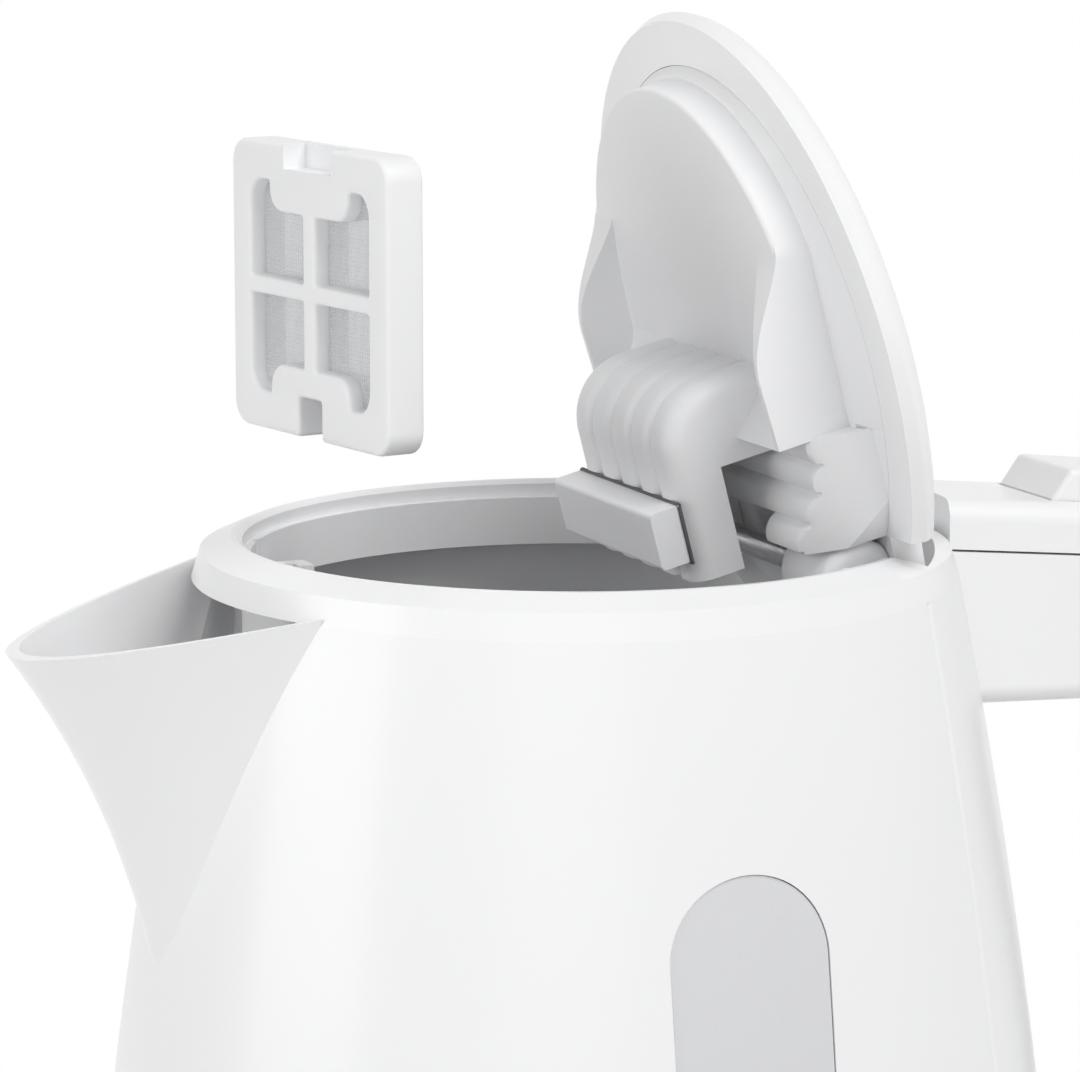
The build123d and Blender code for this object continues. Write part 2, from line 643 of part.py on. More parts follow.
# Filter, drawn in its rails and then lifted out
filter_mid_z = filter_top_z - filter_h / 2
front = Plane(origin=(filter_x0, 0, filter_mid_z), x_dir=(0, 1, 0), z_dir=(1, 0, 0))
frame_face = RectangleRounded(filter_w, filter_h, 4.0)
pane_w = (filter_w - 2 * filter_border - filter_bar_w) / 2
pane_h = (filter_h - 2 * filter_border - filter_bar_h) / 2
for sy in (-1, 1):
    for sz in (-1, 1):
        spot = Pos(sy * (pane_w + filter_bar_w) / 2, sz * (pane_h + filter_bar_h) / 2)
        frame_face -= spot * RectangleRounded(pane_w, pane_h, 2.2)
tab_w = 22.0
tab_h = 9.0
for sz in (-1, 1):
    frame_face += Pos(0, sz * (filter_h / 2 - filter_border - tab_h / 2 + 2)) * RectangleRounded(tab_w, tab_h, 3.4)
filter_frame = extrude(front * frame_face, filter_t)
for sz, notch_w, notch_h in ((1, 13.0, 4.6), (-1, 8.0, 5.4)):
    zc = filter_mid_z + sz * (filter_h / 2 - notch_h / 2)
    filter_frame -= block(filter_x0 - 1, filter_x0 + filter_t * 0.62, -notch_w / 2, notch_w / 2, zc - notch_h / 2 - 0.01,
                          zc + notch_h / 2 + (2 if sz > 0 else 0.01)) if sz > 0 else block(
        filter_x0 - 1, filter_x1 + 1, -notch_w / 2, notch_w / 2, zc - notch_h / 2 - 2, zc + notch_h / 2)
sheet_w = filter_w - 2 * filter_border + 2 * mesh_lap
sheet_h = filter_h - 2 * filter_border + 2 * mesh_lap
sheet_plane = Plane(origin=(filter_x + 1.0, 0, filter_mid_z), x_dir=(0, 1, 0), z_dir=(1, 0, 0))
filter_mesh = extrude(sheet_plane * Rectangle(sheet_w, sheet_h), mesh_t)
filter_frame -= filter_mesh
filter_pieces = {"filter_frame": filter_frame, "filter_mesh": filter_mesh}
filter_pieces = {name: Pos(0, 0, filter_lift) * piece for name, piece in filter_pieces.items()}

pieces = {
    "base_cover": base_cover,
    "base_plate": base_plate,
    "base_feet": base_feet,
    "base_connector": base_connector,
    "contact_ring": contact_ring,
    "contact_sleeve": contact_sleeve,
    "cord_bush": cord_bush,
    "jug_socket": jug_socket,
    "body_shell": body_shell,
    "window_near": window_near,
    "window_far": window_far,
    "collar": collar,
    "heater_seal": heater_seal,
    "heater_plate": heater_plate,
    "heating_element": heating_element,
    "bottom_cover": bottom_cover,
    "handle_shell": handle_shell,
    "handle_top": handle_top,
    "lid_button": lid_button,
    "switch_lever": switch_lever,
    "hinge_pin": hinge_pin,
}
pieces.update(lid_pieces)
pieces.update(filter_pieces)

os.makedirs("parts", exist_ok=True)
for name, piece in pieces.items():
    export_step(piece, f"parts/{name}.step")
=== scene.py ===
import math

import bmesh
import bpy
from mathutils import Matrix, Vector


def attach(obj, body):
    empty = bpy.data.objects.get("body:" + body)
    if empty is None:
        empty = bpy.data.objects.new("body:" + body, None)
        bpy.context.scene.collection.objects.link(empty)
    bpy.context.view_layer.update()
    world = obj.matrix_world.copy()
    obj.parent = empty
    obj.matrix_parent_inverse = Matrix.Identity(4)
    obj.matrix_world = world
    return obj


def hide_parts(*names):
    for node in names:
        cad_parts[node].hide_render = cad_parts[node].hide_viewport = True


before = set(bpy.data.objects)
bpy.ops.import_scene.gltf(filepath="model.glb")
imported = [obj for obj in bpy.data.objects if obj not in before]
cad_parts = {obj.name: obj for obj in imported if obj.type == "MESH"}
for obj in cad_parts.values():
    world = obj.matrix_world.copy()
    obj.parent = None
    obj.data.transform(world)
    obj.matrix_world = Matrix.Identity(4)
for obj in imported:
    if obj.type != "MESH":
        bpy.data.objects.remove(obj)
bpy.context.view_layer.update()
print("frame loaded:", len(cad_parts), "nodes")


# a socket that takes part in sums
class Wire:
    def __init__(self, book, socket):
        self.book = book
        self.socket = socket

    def __add__(self, other):
        return self.book.sums("ADD", self, other)

    def __radd__(self, other):
        return self.book.sums("ADD", other, self)

    def __rsub__(self, other):
        return self.book.sums("SUBTRACT", other, self)

    def __mul__(self, other):
        return self.book.sums("MULTIPLY", self, other)

    def __rmul__(self, other):
        return self.book.sums("MULTIPLY", other, self)

    def __truediv__(self, other):
        return self.book.sums("DIVIDE", self, other)

    def __rtruediv__(self, other):
        return self.book.sums("DIVIDE", other, self)

    def also(self, output):
        return Wire(self.book, self.socket.node.outputs[output])


# a node tree and the one way that nodes are put into it
class Book:
    def __init__(self, tree):
        self.tree = tree
        self.tree.nodes.clear()

    def make(self, kind, settings=None, sockets=None, output=0):
        node = self.tree.nodes.new(kind)
        for key, value in (settings or {}).items():
            setattr(node, key, value)
        for key, value in (sockets or {}).items():
            for part in value if isinstance(value, list) else [value]:
                if isinstance(part, Wire):
                    self.tree.links.new(part.socket, node.inputs[key])
                else:
                    node.inputs[key].default_value = part
        return Wire(self, node.outputs[output]) if len(node.outputs) else node

    def sums(self, operation, first, second=0.0):
        return self.make("ShaderNodeMath", {"operation": operation}, {0: first, 1: second})

    # 1 for what the camera sees, straight or in a reflection
    def seen(self):
        path = self.make("ShaderNodeLightPath", output="Is Camera Ray")
        rays = path + path.also("Is Glossy Ray") + path.also("Is Transmission Ray")
        return self.sums("MINIMUM", rays, 1.0)


noiseMiddle = (0.3, 0.7)  # most of a noise lies between these


class Finish(Book):
    def __init__(self, name):
        self.material = bpy.data.materials.new(name)
        self.material.use_nodes = True
        super().__init__(self.material.node_tree)
        self.spot = self.make("ShaderNodeTexCoord", output="Object")

    def noise(self, scale, detail=3.0, spot=None):
        return self.make("ShaderNodeTexNoise", None,
                         {"Vector": spot or self.spot, "Scale": scale, "Detail": detail})

    def range(self, value, low, high, newLow, newHigh):
        return self.make("ShaderNodeMapRange", None, {0: value, 1: low, 2: high, 3: newLow, 4: newHigh})

    def spread(self, noise, low, high):
        return self.range(noise, *noiseMiddle, low, high)

    def tint(self, factor, first, second):
        return self.make("ShaderNodeMix", {"data_type": "RGBA"},
                         {0: factor, 6: rgb(*first), 7: rgb(*second)}, 2)

    def bump(self, height, strength, depth):
        return self.make("ShaderNodeBump", None,
                         {"Height": height, "Strength": strength, "Distance": depth})

    def axis(self, which):
        return self.make("ShaderNodeSeparateXYZ", None, {0: self.spot}, which)

    def radius(self):
        x, y = self.axis(0), self.axis(1)
        return self.sums("SQRT", x * x + y * y)

    def close(self, shader):
        self.make("ShaderNodeOutputMaterial", None, {"Surface": shader})
        return self.material

    def principled(self, **sockets):
        named = {key.replace("_", " "): value for key, value in sockets.items()}
        return self.close(self.make("ShaderNodeBsdfPrincipled", None, named))


def rgb(r, g, b):
    return (r, g, b, 1.0)


# moulded plastic: a faint cloudiness in the colour, a fine grain in the gloss
def mouldedPlastic(name, look):
    f = Finish(name)
    cloud = f.noise(look["cloudScale"], 2.0)
    grain = f.noise(look["skinScale"], 4.0)
    colour = f.tint(f.spread(cloud, 0.0, 1.0), look["colour"], look["second"])
    rough = f.spread(grain, look["rough"] - look["roughSpread"], look["rough"] + look["roughSpread"])
    return f.principled(Base_Color=colour, Roughness=rough, IOR=moulding["ior"],
                        Coat_Weight=look["coat"], Coat_Roughness=moulding["coatRough"],
                        Normal=f.bump(grain, look["bump"], moulding["depth"]))


moulding = dict(ior=1.47, coatRough=0.12, depth=0.00006)
whiteShell = dict(colour=(0.915, 0.917, 0.925), second=(0.93, 0.932, 0.938), cloudScale=9.0,
                  skinScale=1400.0, rough=0.3, roughSpread=0.02, coat=0.2, bump=0.03)
whiteSatin = dict(colour=(0.91, 0.913, 0.922), second=(0.925, 0.928, 0.936), cloudScale=12.0,
                  skinScale=1700.0, rough=0.42, roughSpread=0.04, coat=0.0, bump=0.08)
whiteFilter = dict(colour=(0.9, 0.903, 0.912), second=(0.915, 0.918, 0.925), cloudScale=30.0,
                   skinScale=2400.0, rough=0.4, roughSpread=0.04, coat=0.0, bump=0.06)
paleGrey = dict(colour=(0.42, 0.43, 0.45), second=(0.45, 0.46, 0.48), cloudScale=25.0,
                skinScale=2200.0, rough=0.55, roughSpread=0.08, coat=0.0, bump=0.4)

# frosted water window: grain in the gloss, a little paler towards its top
frost = dict(low=(0.66, 0.665, 0.69), high=(0.72, 0.723, 0.745), fromZ=0.06, toZ=0.17, grain=2600.0,
             smooth=0.26, rough=0.4, ior=1.5, bump=0.25, depth=0.00008)


def frostedWindow():
    f = Finish("windowFrost")
    grain = f.noise(frost["grain"], 5.0)
    height = f.range(f.axis(2), frost["fromZ"], frost["toZ"], 0.0, 1.0)
    return f.principled(Base_Color=f.tint(height, frost["low"], frost["high"]), IOR=frost["ior"],
                        Roughness=f.spread(grain, frost["smooth"], frost["rough"]),
                        Normal=f.bump(grain, frost["bump"], frost["depth"]))


# turned or spun metal: rings about the jug's axis
spin = dict(slant=0.2, roughSpread=0.07, bump=0.15, depth=0.00005)


def spunMetal(name, colour, second, rough, rings):
    f = Finish(name)
    across = f.make("ShaderNodeCombineXYZ", None,
                    {0: f.radius() * rings, 1: f.axis(2) * rings * spin["slant"]})
    streak = f.noise(1.0, 4.0, across)
    return f.principled(Base_Color=f.tint(streak, colour, second), Metallic=1.0,
                        Roughness=f.spread(streak, rough - spin["roughSpread"], rough + spin["roughSpread"]),
                        Normal=f.bump(streak, spin["bump"], spin["depth"]))


rubber = dict(grain=3000.0, cloud=60.0, smooth=0.62, rough=0.8, ior=1.5, bump=0.4, depth=0.0001)


def softRubber(name, colour, second):
    f = Finish(name)
    grain = f.noise(rubber["grain"], 4.0)
    return f.principled(Base_Color=f.tint(f.noise(rubber["cloud"]), colour, second), IOR=rubber["ior"],
                        Roughness=f.spread(grain, rubber["smooth"], rubber["rough"]),
                        Normal=f.bump(grain, rubber["bump"], rubber["depth"]))


nylon = dict(colour=(0.84, 0.85, 0.88), second=(0.88, 0.89, 0.91), fibre=4000.0, smooth=0.4, rough=0.6,
             ior=1.53)


def nylonNet():
    f = Finish("netNylon")
    fibre = f.noise(nylon["fibre"], 2.0)
    return f.principled(Base_Color=f.tint(fibre, nylon["colour"], nylon["second"]), IOR=nylon["ior"],
                        Roughness=f.spread(fibre, nylon["smooth"], nylon["rough"]))


shellFinish = mouldedPlastic("shellWhite", whiteShell)
satinFinish = mouldedPlastic("innerWhite", whiteSatin)
filterFinish = mouldedPlastic("filterWhite", whiteFilter)
bushFinish = mouldedPlastic("bushGrey", paleGrey)
windowFinish = frostedWindow()
heaterFinish = spunMetal("heaterSteel", (0.55, 0.55, 0.56), (0.66, 0.66, 0.67), 0.3, 2500.0)
elementFinish = spunMetal("elementAluminium", (0.6, 0.6, 0.61), (0.7, 0.7, 0.71), 0.42, 1200.0)
brassFinish = spunMetal("contactBrass", (0.66, 0.5, 0.22), (0.76, 0.6, 0.3), 0.28, 4000.0)
footFinish = softRubber("footRubber", (0.08, 0.08, 0.085), (0.11, 0.11, 0.115))
sealFinish = softRubber("sealSilicone", (0.6, 0.6, 0.6), (0.66, 0.66, 0.66))
# dark matt finish for the bead that lines the seam between the hinge arm and its bar
beadFinish = softRubber("beadRubber", (0.1, 0.1, 0.11), (0.14, 0.14, 0.15))
netFinish = nylonNet()

wears = {
    "base_cover": shellFinish, "base_plate": satinFinish, "base_feet": footFinish,
    "base_connector": satinFinish, "contact_ring": brassFinish, "contact_sleeve": brassFinish,
    "cord_bush": bushFinish, "jug_socket": satinFinish, "body_shell": shellFinish,
    "window_near": windowFinish, "window_far": windowFinish, "collar": shellFinish,
    "heater_seal": sealFinish, "heater_plate": heaterFinish, "heating_element": elementFinish,
    "bottom_cover": satinFinish, "handle_shell": shellFinish, "handle_top": shellFinish,
    "lid_button": shellFinish, "switch_lever": shellFinish, "hinge_pin": heaterFinish,
    "lid_cover": shellFinish, "lid_liner": satinFinish, "lid_arm": satinFinish,
    "lid_arm_bar": satinFinish, "filter_frame": filterFinish, "filter_mesh": netFinish}
for node, finish in wears.items():
    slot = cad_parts[node].material_slots[0]
    slot.link = "OBJECT"
    slot.material = finish
print("finishes on", len(wears), "nodes")


def putInScene(name, data):
    thing = bpy.data.objects.new(name, data)
    bpy.context.scene.collection.objects.link(thing)
    return thing


# the mesh that an object's modifiers or curve come to
def plainMesh(thing):
    graph = bpy.context.evaluated_depsgraph_get()
    return bpy.data.meshes.new_from_object(thing.evaluated_get(graph), depsgraph=graph)


# a geometry tree with named sizes, turned into a plain mesh
class Pattern(Book):
    def __init__(self, name, sizes):
        super().__init__(bpy.data.node_groups.new(name, "GeometryNodeTree"))
        face = self.tree.interface
        self.sizes = sizes
        self.keys = {}
        for key, value in sizes.items():
            kind = "NodeSocketInt" if isinstance(value, int) else "NodeSocketFloat"
            self.keys[key] = face.new_socket(name=key, in_out="INPUT", socket_type=kind).identifier
        face.new_socket(name="Geometry", in_out="OUTPUT", socket_type="NodeSocketGeometry")
        self.entry = self.tree.nodes.new("NodeGroupInput")

    def size(self, key):
        return Wire(self, self.entry.outputs[key])

    def vector(self, x=0.0, y=0.0, z=0.0):
        return self.make("ShaderNodeCombineXYZ", None, {0: x, 1: y, 2: z})

    def place(self, which):
        spot = self.make("GeometryNodeInputPosition")
        return self.make("ShaderNodeSeparateXYZ", None, {0: spot}, which)

    def row(self, count, start, step):
        return self.make("GeometryNodeMeshLine", {"mode": "OFFSET"},
                         {"Count": count, "Start Location": start, "Offset": step})

    def line(self, start, end):
        return self.make("GeometryNodeCurvePrimitiveLine", None, {"Start": start, "End": end})

    def tube(self, run, radius, sides):
        ring = self.make("GeometryNodeCurvePrimitiveCircle", None, {"Resolution": sides, "Radius": radius})
        return self.make("GeometryNodeCurveToMesh", None,
                         {"Curve": run, "Profile Curve": ring, "Fill Caps": True})

    def shift(self, shape, **sockets):
        return self.make("GeometryNodeSetPosition", None, {"Geometry": shape, **sockets})

    def copies(self, spots, shape, **sockets):
        return self.make("GeometryNodeInstanceOnPoints", None, {"Points": spots, "Instance": shape, **sockets})

    def bake(self, name, shapes, finish):
        joined = self.make("GeometryNodeJoinGeometry", None, {0: shapes})
        real = self.make("GeometryNodeRealizeInstances", None, {0: joined})
        dressed = self.make("GeometryNodeSetMaterial", None, {"Geometry": real, "Material": finish})
        self.make("NodeGroupOutput", None, {0: dressed})
        holder = putInScene(name, bpy.data.meshes.new(name))
        modifier = holder.modifiers.new("pattern", "NODES")
        modifier.node_group = self.tree
        for key, value in self.sizes.items():
            modifier[self.keys[key]] = value
        mesh = plainMesh(holder)
        holder.modifiers.remove(modifier)
        holder.data = mesh
        return holder


# closed skin through rings of points, all rings with as many points
def skin(shape, rings):
    loops = [[shape.verts.new(point) for point in ring] for ring in rings]
    for first, second in zip(loops, loops[1:]):
        for i in range(len(first)):
            k = (i + 1) % len(first)
            shape.faces.new((first[i], first[k], second[k], second[i]))
    shape.faces.new(loops[0][::-1])
    shape.faces.new(loops[-1])


def quarter(steps):
    return [math.pi / 2 * i / steps for i in range(steps + 1)]


# millimetres become metres, and the piece goes to its body
def finishPiece(name, shape, place, finish, body, node, crease=32.0):
    bmesh.ops.recalc_face_normals(shape, faces=shape.faces)
    mesh = bpy.data.meshes.new(name)
    shape.to_mesh(mesh)
    shape.free()
    mesh.transform(place @ Matrix.Scale(0.001, 4))
    mesh.shade_smooth()
    mesh.set_sharp_from_angle(angle=math.radians(crease))
    mesh.materials.append(finish)
    piece = putInScene(name, mesh)
    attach(piece, body)
    if node:
        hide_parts(node)
    return piece


# the lid is drawn shut and opened about its hinge
hinge = dict(x=31.0, z=202.1, opened=75.5, rim=206.6)
hingeSpot = Vector((hinge["x"], 0.0, hinge["z"])) * 0.001
lidPlace = (Matrix.Translation(hingeSpot) @ Matrix.Rotation(math.radians(hinge["opened"]), 4, "Y")
            @ Matrix.Translation(-hingeSpot))

# underside of the lid: plug with its pad, fins, ramp, banded cowl and hinge barrels
liner = dict(flange=0.3, thick=2.2, radius=42.5, backX=8.4, wallY=33.2, steps=200,
             bandRadius=37.4, bandX=-4.2, bandDrop=1.0, bandInset=0.02, bandLap=0.2,
             padRadius=35.8, padX=-5.1, padDrop=6.2, padRound=0.8, padLap=0.8, padSteps=5,
             finRoot=6.6, finCrest=0.8, finFrontX=-20.0, finTopX=-2.0, finSunk=0.3, finProud=0.03,
             finFoot=0.5, finThin=0.3, finCurve=1.5, finSteps=24, crestDrop=13.0, crestTail=0.6,
             armX=-0.8, rampLap=1.0, rampCurve=1.7, rampSteps=12,
             cowlDrops=(7.2, 6.4, 7.4, 9.4, 11.0), cowlPitch=4.2, cowlBelly=1.3, cowlHalf=38.0,
             cowlDepth=24.0, cowlBands=4, cowlWeb=3, cowlLap=0.3, cowlRise=0.5, cowlThin=0.01,
             cowlSteps=32, bellySteps=8,
             barrelRadius=6.3, barrelIn=19.0, barrelOut=34.0, barrelRound=2.2, barrelTrim=0.2,
             barrelSides=48, barrelSteps=6)


# star-shaped outline: a circle cut by the two side walls and by the back
def plugOutline(circleX, radius, wall, back, z):
    ring = []
    for i in range(liner["steps"]):
        a = 2.0 * math.pi * i / liner["steps"]
        dx, dy = math.cos(a), math.sin(a)
        offset = liner["bandX"] - circleX
        reach = -offset * dx + math.sqrt(max(radius ** 2 - (offset * dy) ** 2, 0.0))
        if abs(dy) > 1e-6:
            reach = min(reach, wall / abs(dy))
        if dx > 1e-6:
            reach = min(reach, (back - liner["bandX"]) / dx)
        ring.append((liner["bandX"] + reach * dx, reach * dy, z))
    return ring


def addPlug(shape, rim, padZ):
    flangeZ, bandZ = rim + liner["flange"], rim - liner["bandDrop"]
    radius, back, uncut = liner["radius"], liner["backX"], 3.0 * liner["radius"]
    skin(shape, [plugOutline(0.0, radius, uncut, uncut, flangeZ + liner["thick"]),
                 plugOutline(0.0, radius, uncut, uncut, flangeZ)])
    radius -= liner["bandInset"]
    skin(shape, [plugOutline(0.0, radius, uncut, back, flangeZ + liner["bandLap"]),
                 plugOutline(0.0, radius, uncut, back, flangeZ),
                 plugOutline(liner["bandX"], liner["bandRadius"], uncut, back, bandZ)])
    padX, padRadius, wall = liner["padX"], liner["padRadius"], liner["wallY"]
    rings = [plugOutline(padX, padRadius, wall, back, bandZ + liner["padLap"])]
    for a in quarter(liner["padSteps"]):  # rounded edge of the pad
        inset = liner["padRound"] * (1.0 - math.cos(a))
        rings.append(plugOutline(padX, padRadius - inset, wall - inset, back,
                                 padZ + liner["padRound"] * (1.0 - math.sin(a))))
    skin(shape, rings)


# side view of a fin: it rises out of the pad to its crest and runs on to the back
def finStations(padZ, crestZ):
    front, sunk, steps = liner["finFrontX"], liner["finSunk"], liner["finSteps"]
    stations = []
    for i in range(steps + 1):
        t = i / steps
        climb = math.sin(math.pi / 2 * t) ** liner["finCurve"]
        stations.append((front + t * (liner["finTopX"] - front),
                         padZ + sunk - (padZ - crestZ + sunk) * climb))
    return stations + [(liner["backX"], crestZ + liner["crestTail"])]


def addFins(shape, padZ, crestZ, bandZ):
    wall, root, drop = liner["wallY"], liner["finRoot"], padZ - crestZ
    for side in (-1.0, 1.0):
        foot = side * (wall - root - liner["finFoot"])
        rings = []
        for x, z in finStations(padZ, crestZ):
            onPad = math.sqrt(liner["padRadius"] ** 2 - (x - liner["padX"]) ** 2)
            outer = min(wall, onPad) + liner["finProud"]
            inner = wall - root + (padZ - z) / drop * (root - liner["finCrest"])
            rings.append([(x, foot, bandZ), (x, side * outer, bandZ), (x, side * outer, z),
                          (x, side * min(inner, outer - liner["finThin"]), z)])
        skin(shape, rings)


# slope between the fins, from the arm's root to the cowl
def addRamp(shape, padZ, crestZ):
    start, end, steps = liner["armX"], liner["backX"], liner["rampSteps"]
    fall = padZ - crestZ - liner["crestTail"]
    line = [(start, padZ + liner["rampLap"])]
    for i in range(steps + 1):
        t = i / steps
        line.append((start + t * (end - start), padZ - fall * t ** liner["rampCurve"]))
    line.append((end, padZ + liner["rampLap"]))
    edge = liner["wallY"] - liner["finCrest"]
    skin(shape, [[(x, y, z) for x, z in line] for y in (-edge, edge)])


def addCowl(shape, rim):
    top = rim + liner["flange"] + liner["cowlRise"]
    drops, steps, inside = liner["cowlDrops"], liner["bellySteps"], liner["barrelIn"]
    half, depth = liner["cowlHalf"], liner["cowlDepth"] + liner["flange"]
    bow = (half ** 2 + depth ** 2) / (2.0 * depth)
    for low, high, bands in ((-half, -inside, liner["cowlBands"]), (-inside, inside, liner["cowlWeb"]),
                             (inside, half, liner["cowlBands"])):
        rings = []
        for j in range(liner["cowlSteps"] + 1):
            y = low + (high - low) * j / liner["cowlSteps"]
            floor = rim - liner["cowlDepth"] + bow - math.sqrt(bow ** 2 - y ** 2)
            limit = math.sqrt(liner["radius"] ** 2 - y ** 2)
            under = []
            for i in range(bands * steps + 1):  # one round band after another
                band = min(i // steps, bands - 1)
                t = (i - steps * band) / steps
                x = liner["backX"] - liner["cowlLap"] + (band + t) * liner["cowlPitch"]
                belly = liner["cowlBelly"] * math.sqrt(4.0 * t * (1.0 - t))
                z = rim - drops[band] * (1.0 - t) - drops[band + 1] * t - belly
                under.append((min(x, limit), y, min(max(z, floor), top - liner["cowlThin"])))
            rings.append(under + [(under[-1][0], y, top), (under[0][0], y, top)])
        skin(shape, rings)


def addBarrels(shape, rim):
    sides, bevel = liner["barrelSides"], liner["barrelRound"]
    levels = [(liner["barrelIn"], 0.0)]
    for a in quarter(liner["barrelSteps"]):
        levels.append((liner["barrelOut"] - bevel * (1.0 - math.sin(a)), bevel * (1.0 - math.cos(a))))
    for side in (-1.0, 1.0):
        rings = []
        for y, inset in levels:
            radius, ring = liner["barrelRadius"] - inset, []
            for i in range(sides):
                a = 2.0 * math.pi * i / sides
                z = min(hinge["z"] + radius * math.sin(a), rim + liner["barrelTrim"])
                ring.append((hinge["x"] + radius * math.cos(a), side * y, z))
            rings.append(ring)
        skin(shape, rings)


def mouldLiner():
    rim = hinge["rim"]
    padZ, crestZ = rim - liner["padDrop"], rim - liner["crestDrop"]
    shape = bmesh.new()
    addPlug(shape, rim, padZ)
    addFins(shape, padZ, crestZ, rim - liner["bandDrop"])
    addRamp(shape, padZ, crestZ)
    addCowl(shape, rim)
    addBarrels(shape, rim)
    return finishPiece("lidUnderside", shape, lidPlace, satinFinish, "lid", "lid_liner")


print("lid underside moulded:", len(mouldLiner().data.polygons), "faces")

# gooseneck arm with round lobes side by side
arm = dict(width=36.6, frontX=-0.8, drop=23.6, bend=9.5, leg=7.8, wall=12.6, backX=27.4, sunk=1.0,
           bendSteps=16, lobes=5, lobeRound=2.1, endRound=3.2, lobeSteps=8)


# side view of the arm, its outer line taken in by an inset
def armOutline(y, inset, top, low):
    front, bend = arm["frontX"], arm["bend"]
    line = [(front + inset, top)]
    for a in quarter(arm["bendSteps"]):
        line.append((front + bend - (bend - inset) * math.cos(a), low + bend - (bend - inset) * math.sin(a)))
    inner = front + arm["wall"]
    line += [(arm["backX"], low + inset), (arm["backX"], low + arm["leg"]), (inner, low + arm["leg"]),
             (inner, top)]
    return [(x, y, z) for x, z in line]


def mouldArm():
    low, top = hinge["rim"] - arm["drop"], hinge["rim"] - liner["padDrop"] + arm["sunk"]
    half, pitch, lastLobe = arm["width"] / 2, arm["width"] / arm["lobes"], arm["lobes"] - 1
    turns = quarter(arm["lobeSteps"])
    levels = []
    for lobe in range(arm["lobes"]):
        start = -half + lobe * pitch
        first = arm["endRound"] if lobe == 0 else arm["lobeRound"]
        last = arm["endRound"] if lobe == lastLobe else arm["lobeRound"]
        levels += [(start + first * (1.0 - math.cos(a)), first * (1.0 - math.sin(a))) for a in turns]
        levels += [(start + pitch - last * (1.0 - math.cos(a)), last * (1.0 - math.sin(a)))
                   for a in reversed(turns)]
    apart = [levels[0]]
    for level in levels[1:]:  # neighbours share the ring in the valley
        if level[0] - apart[-1][0] > 1e-4:
            apart.append(level)
    shape = bmesh.new()
    skin(shape, [armOutline(y, inset, top, low) for y, inset in apart])
    return finishPiece("hingeArm", shape, lidPlace, satinFinish, "lid", "lid_arm")


print("arm moulded:", len(mouldArm().data.polygons), "faces")

# filter frame, a flat curve with four panes, thickened and rounded, a little turned as it is lifted out
sieve = dict(wide=45.2, high=42.0, thick=6.0, corner=3.6, edge=0.7, edgeSteps=3, border=5.6, barWide=3.6,
             barHigh=2.6, paneCorner=3.2, sharp=0.4, blunt=0.6, cornerSteps=8, tabWide=23.0, tabHigh=10.0,
             tabCorner=3.4, notchWide=14.0, notchHigh=3.6, notchFloor=2.4, notchOver=1.0, slotWide=6.6,
             slotHigh=5.8, weld=0.001, turn=10.0, centre=(-0.0385, 0.0, 0.2436))
sievePlace = Matrix.Translation(sieve["centre"]) @ Matrix.Rotation(math.radians(sieve["turn"]), 4, "Z")


# corners joined by quarter rounds, whichever way they turn
def rounded(corners, radii):
    line = []
    for i, corner in enumerate(corners):
        here = Vector(corner)
        before = (Vector(corners[i - 1]) - here).normalized()
        after = (Vector(corners[(i + 1) % len(corners)]) - here).normalized()
        for a in quarter(sieve["cornerSteps"]):
            line.append(here + radii[i] * ((1.0 - math.sin(a)) * before + (1.0 - math.cos(a)) * after))
    return line


# the frame's edge with its slot, and the four panes
def sieveLines():
    wide, high, slot = sieve["wide"] / 2, sieve["high"] / 2, sieve["slotWide"] / 2
    slotTop = sieve["slotHigh"] - high
    corner, blunt, sharp = sieve["corner"], sieve["blunt"], sieve["sharp"]
    lines = [rounded([(-wide, high), (-wide, -high), (-slot, -high), (-slot, slotTop), (slot, slotTop),
                      (slot, -high), (wide, -high), (wide, high)],
                     [corner, corner, blunt, blunt, blunt, blunt, corner, corner])]
    y0, y1 = sieve["barWide"] / 2, wide - sieve["border"]
    z0, z1 = sieve["barHigh"] / 2, high - sieve["border"]
    tabY, tabZ = sieve["tabWide"] / 2, high - sieve["tabHigh"]
    for sy in (-1, 1):
        for sz in (-1, 1):
            pane = [(y0, z0), (y0, tabZ), (tabY, tabZ), (tabY, z1), (y1, z1), (y1, z0)]
            lines.append(rounded([(sy * y, sz * z) for y, z in pane],
                                 [sharp, sharp, sieve["tabCorner"], blunt, sieve["paneCorner"], sharp]))
    return lines


def thickenSieve():
    curve = bpy.data.curves.new("sieve", "CURVE")
    curve.dimensions = "2D"
    curve.fill_mode = "BOTH"
    curve.extrude = sieve["thick"] / 2 - sieve["edge"]
    curve.bevel_depth = sieve["edge"]
    curve.bevel_resolution = sieve["edgeSteps"]
    curve.offset = -sieve["edge"]
    for line in sieveLines():
        spline = curve.splines.new("POLY")
        spline.points.add(len(line) - 1)
        spline.use_cyclic_u = True
        for point, spot in zip(spline.points, line):
            point.co = (spot[0], spot[1], 0.0, 1.0)
    holder = putInScene("sieve", curve)
    mesh = plainMesh(holder)
    bpy.data.objects.remove(holder)
    shape = bmesh.new()
    shape.from_mesh(mesh)
    bmesh.ops.remove_doubles(shape, verts=shape.verts, dist=sieve["weld"])
    shape.to_mesh(mesh)
    shape.free()
    return mesh


# the block that is cut out of the frame's upper edge
def notchBlock():
    deep, over = sieve["thick"] - sieve["notchFloor"], sieve["notchOver"]
    block = bmesh.new()
    bmesh.ops.create_cube(block, size=1.0)
    block.transform(Matrix.Translation((0.0, sieve["high"] / 2, (sieve["thick"] - deep) / 2 + over / 2))
                    @ Matrix.Diagonal((sieve["notchWide"], 2.0 * sieve["notchHigh"], deep + over, 1.0)))
    mesh = bpy.data.meshes.new("notch")
    block.to_mesh(mesh)
    block.free()
    return mesh


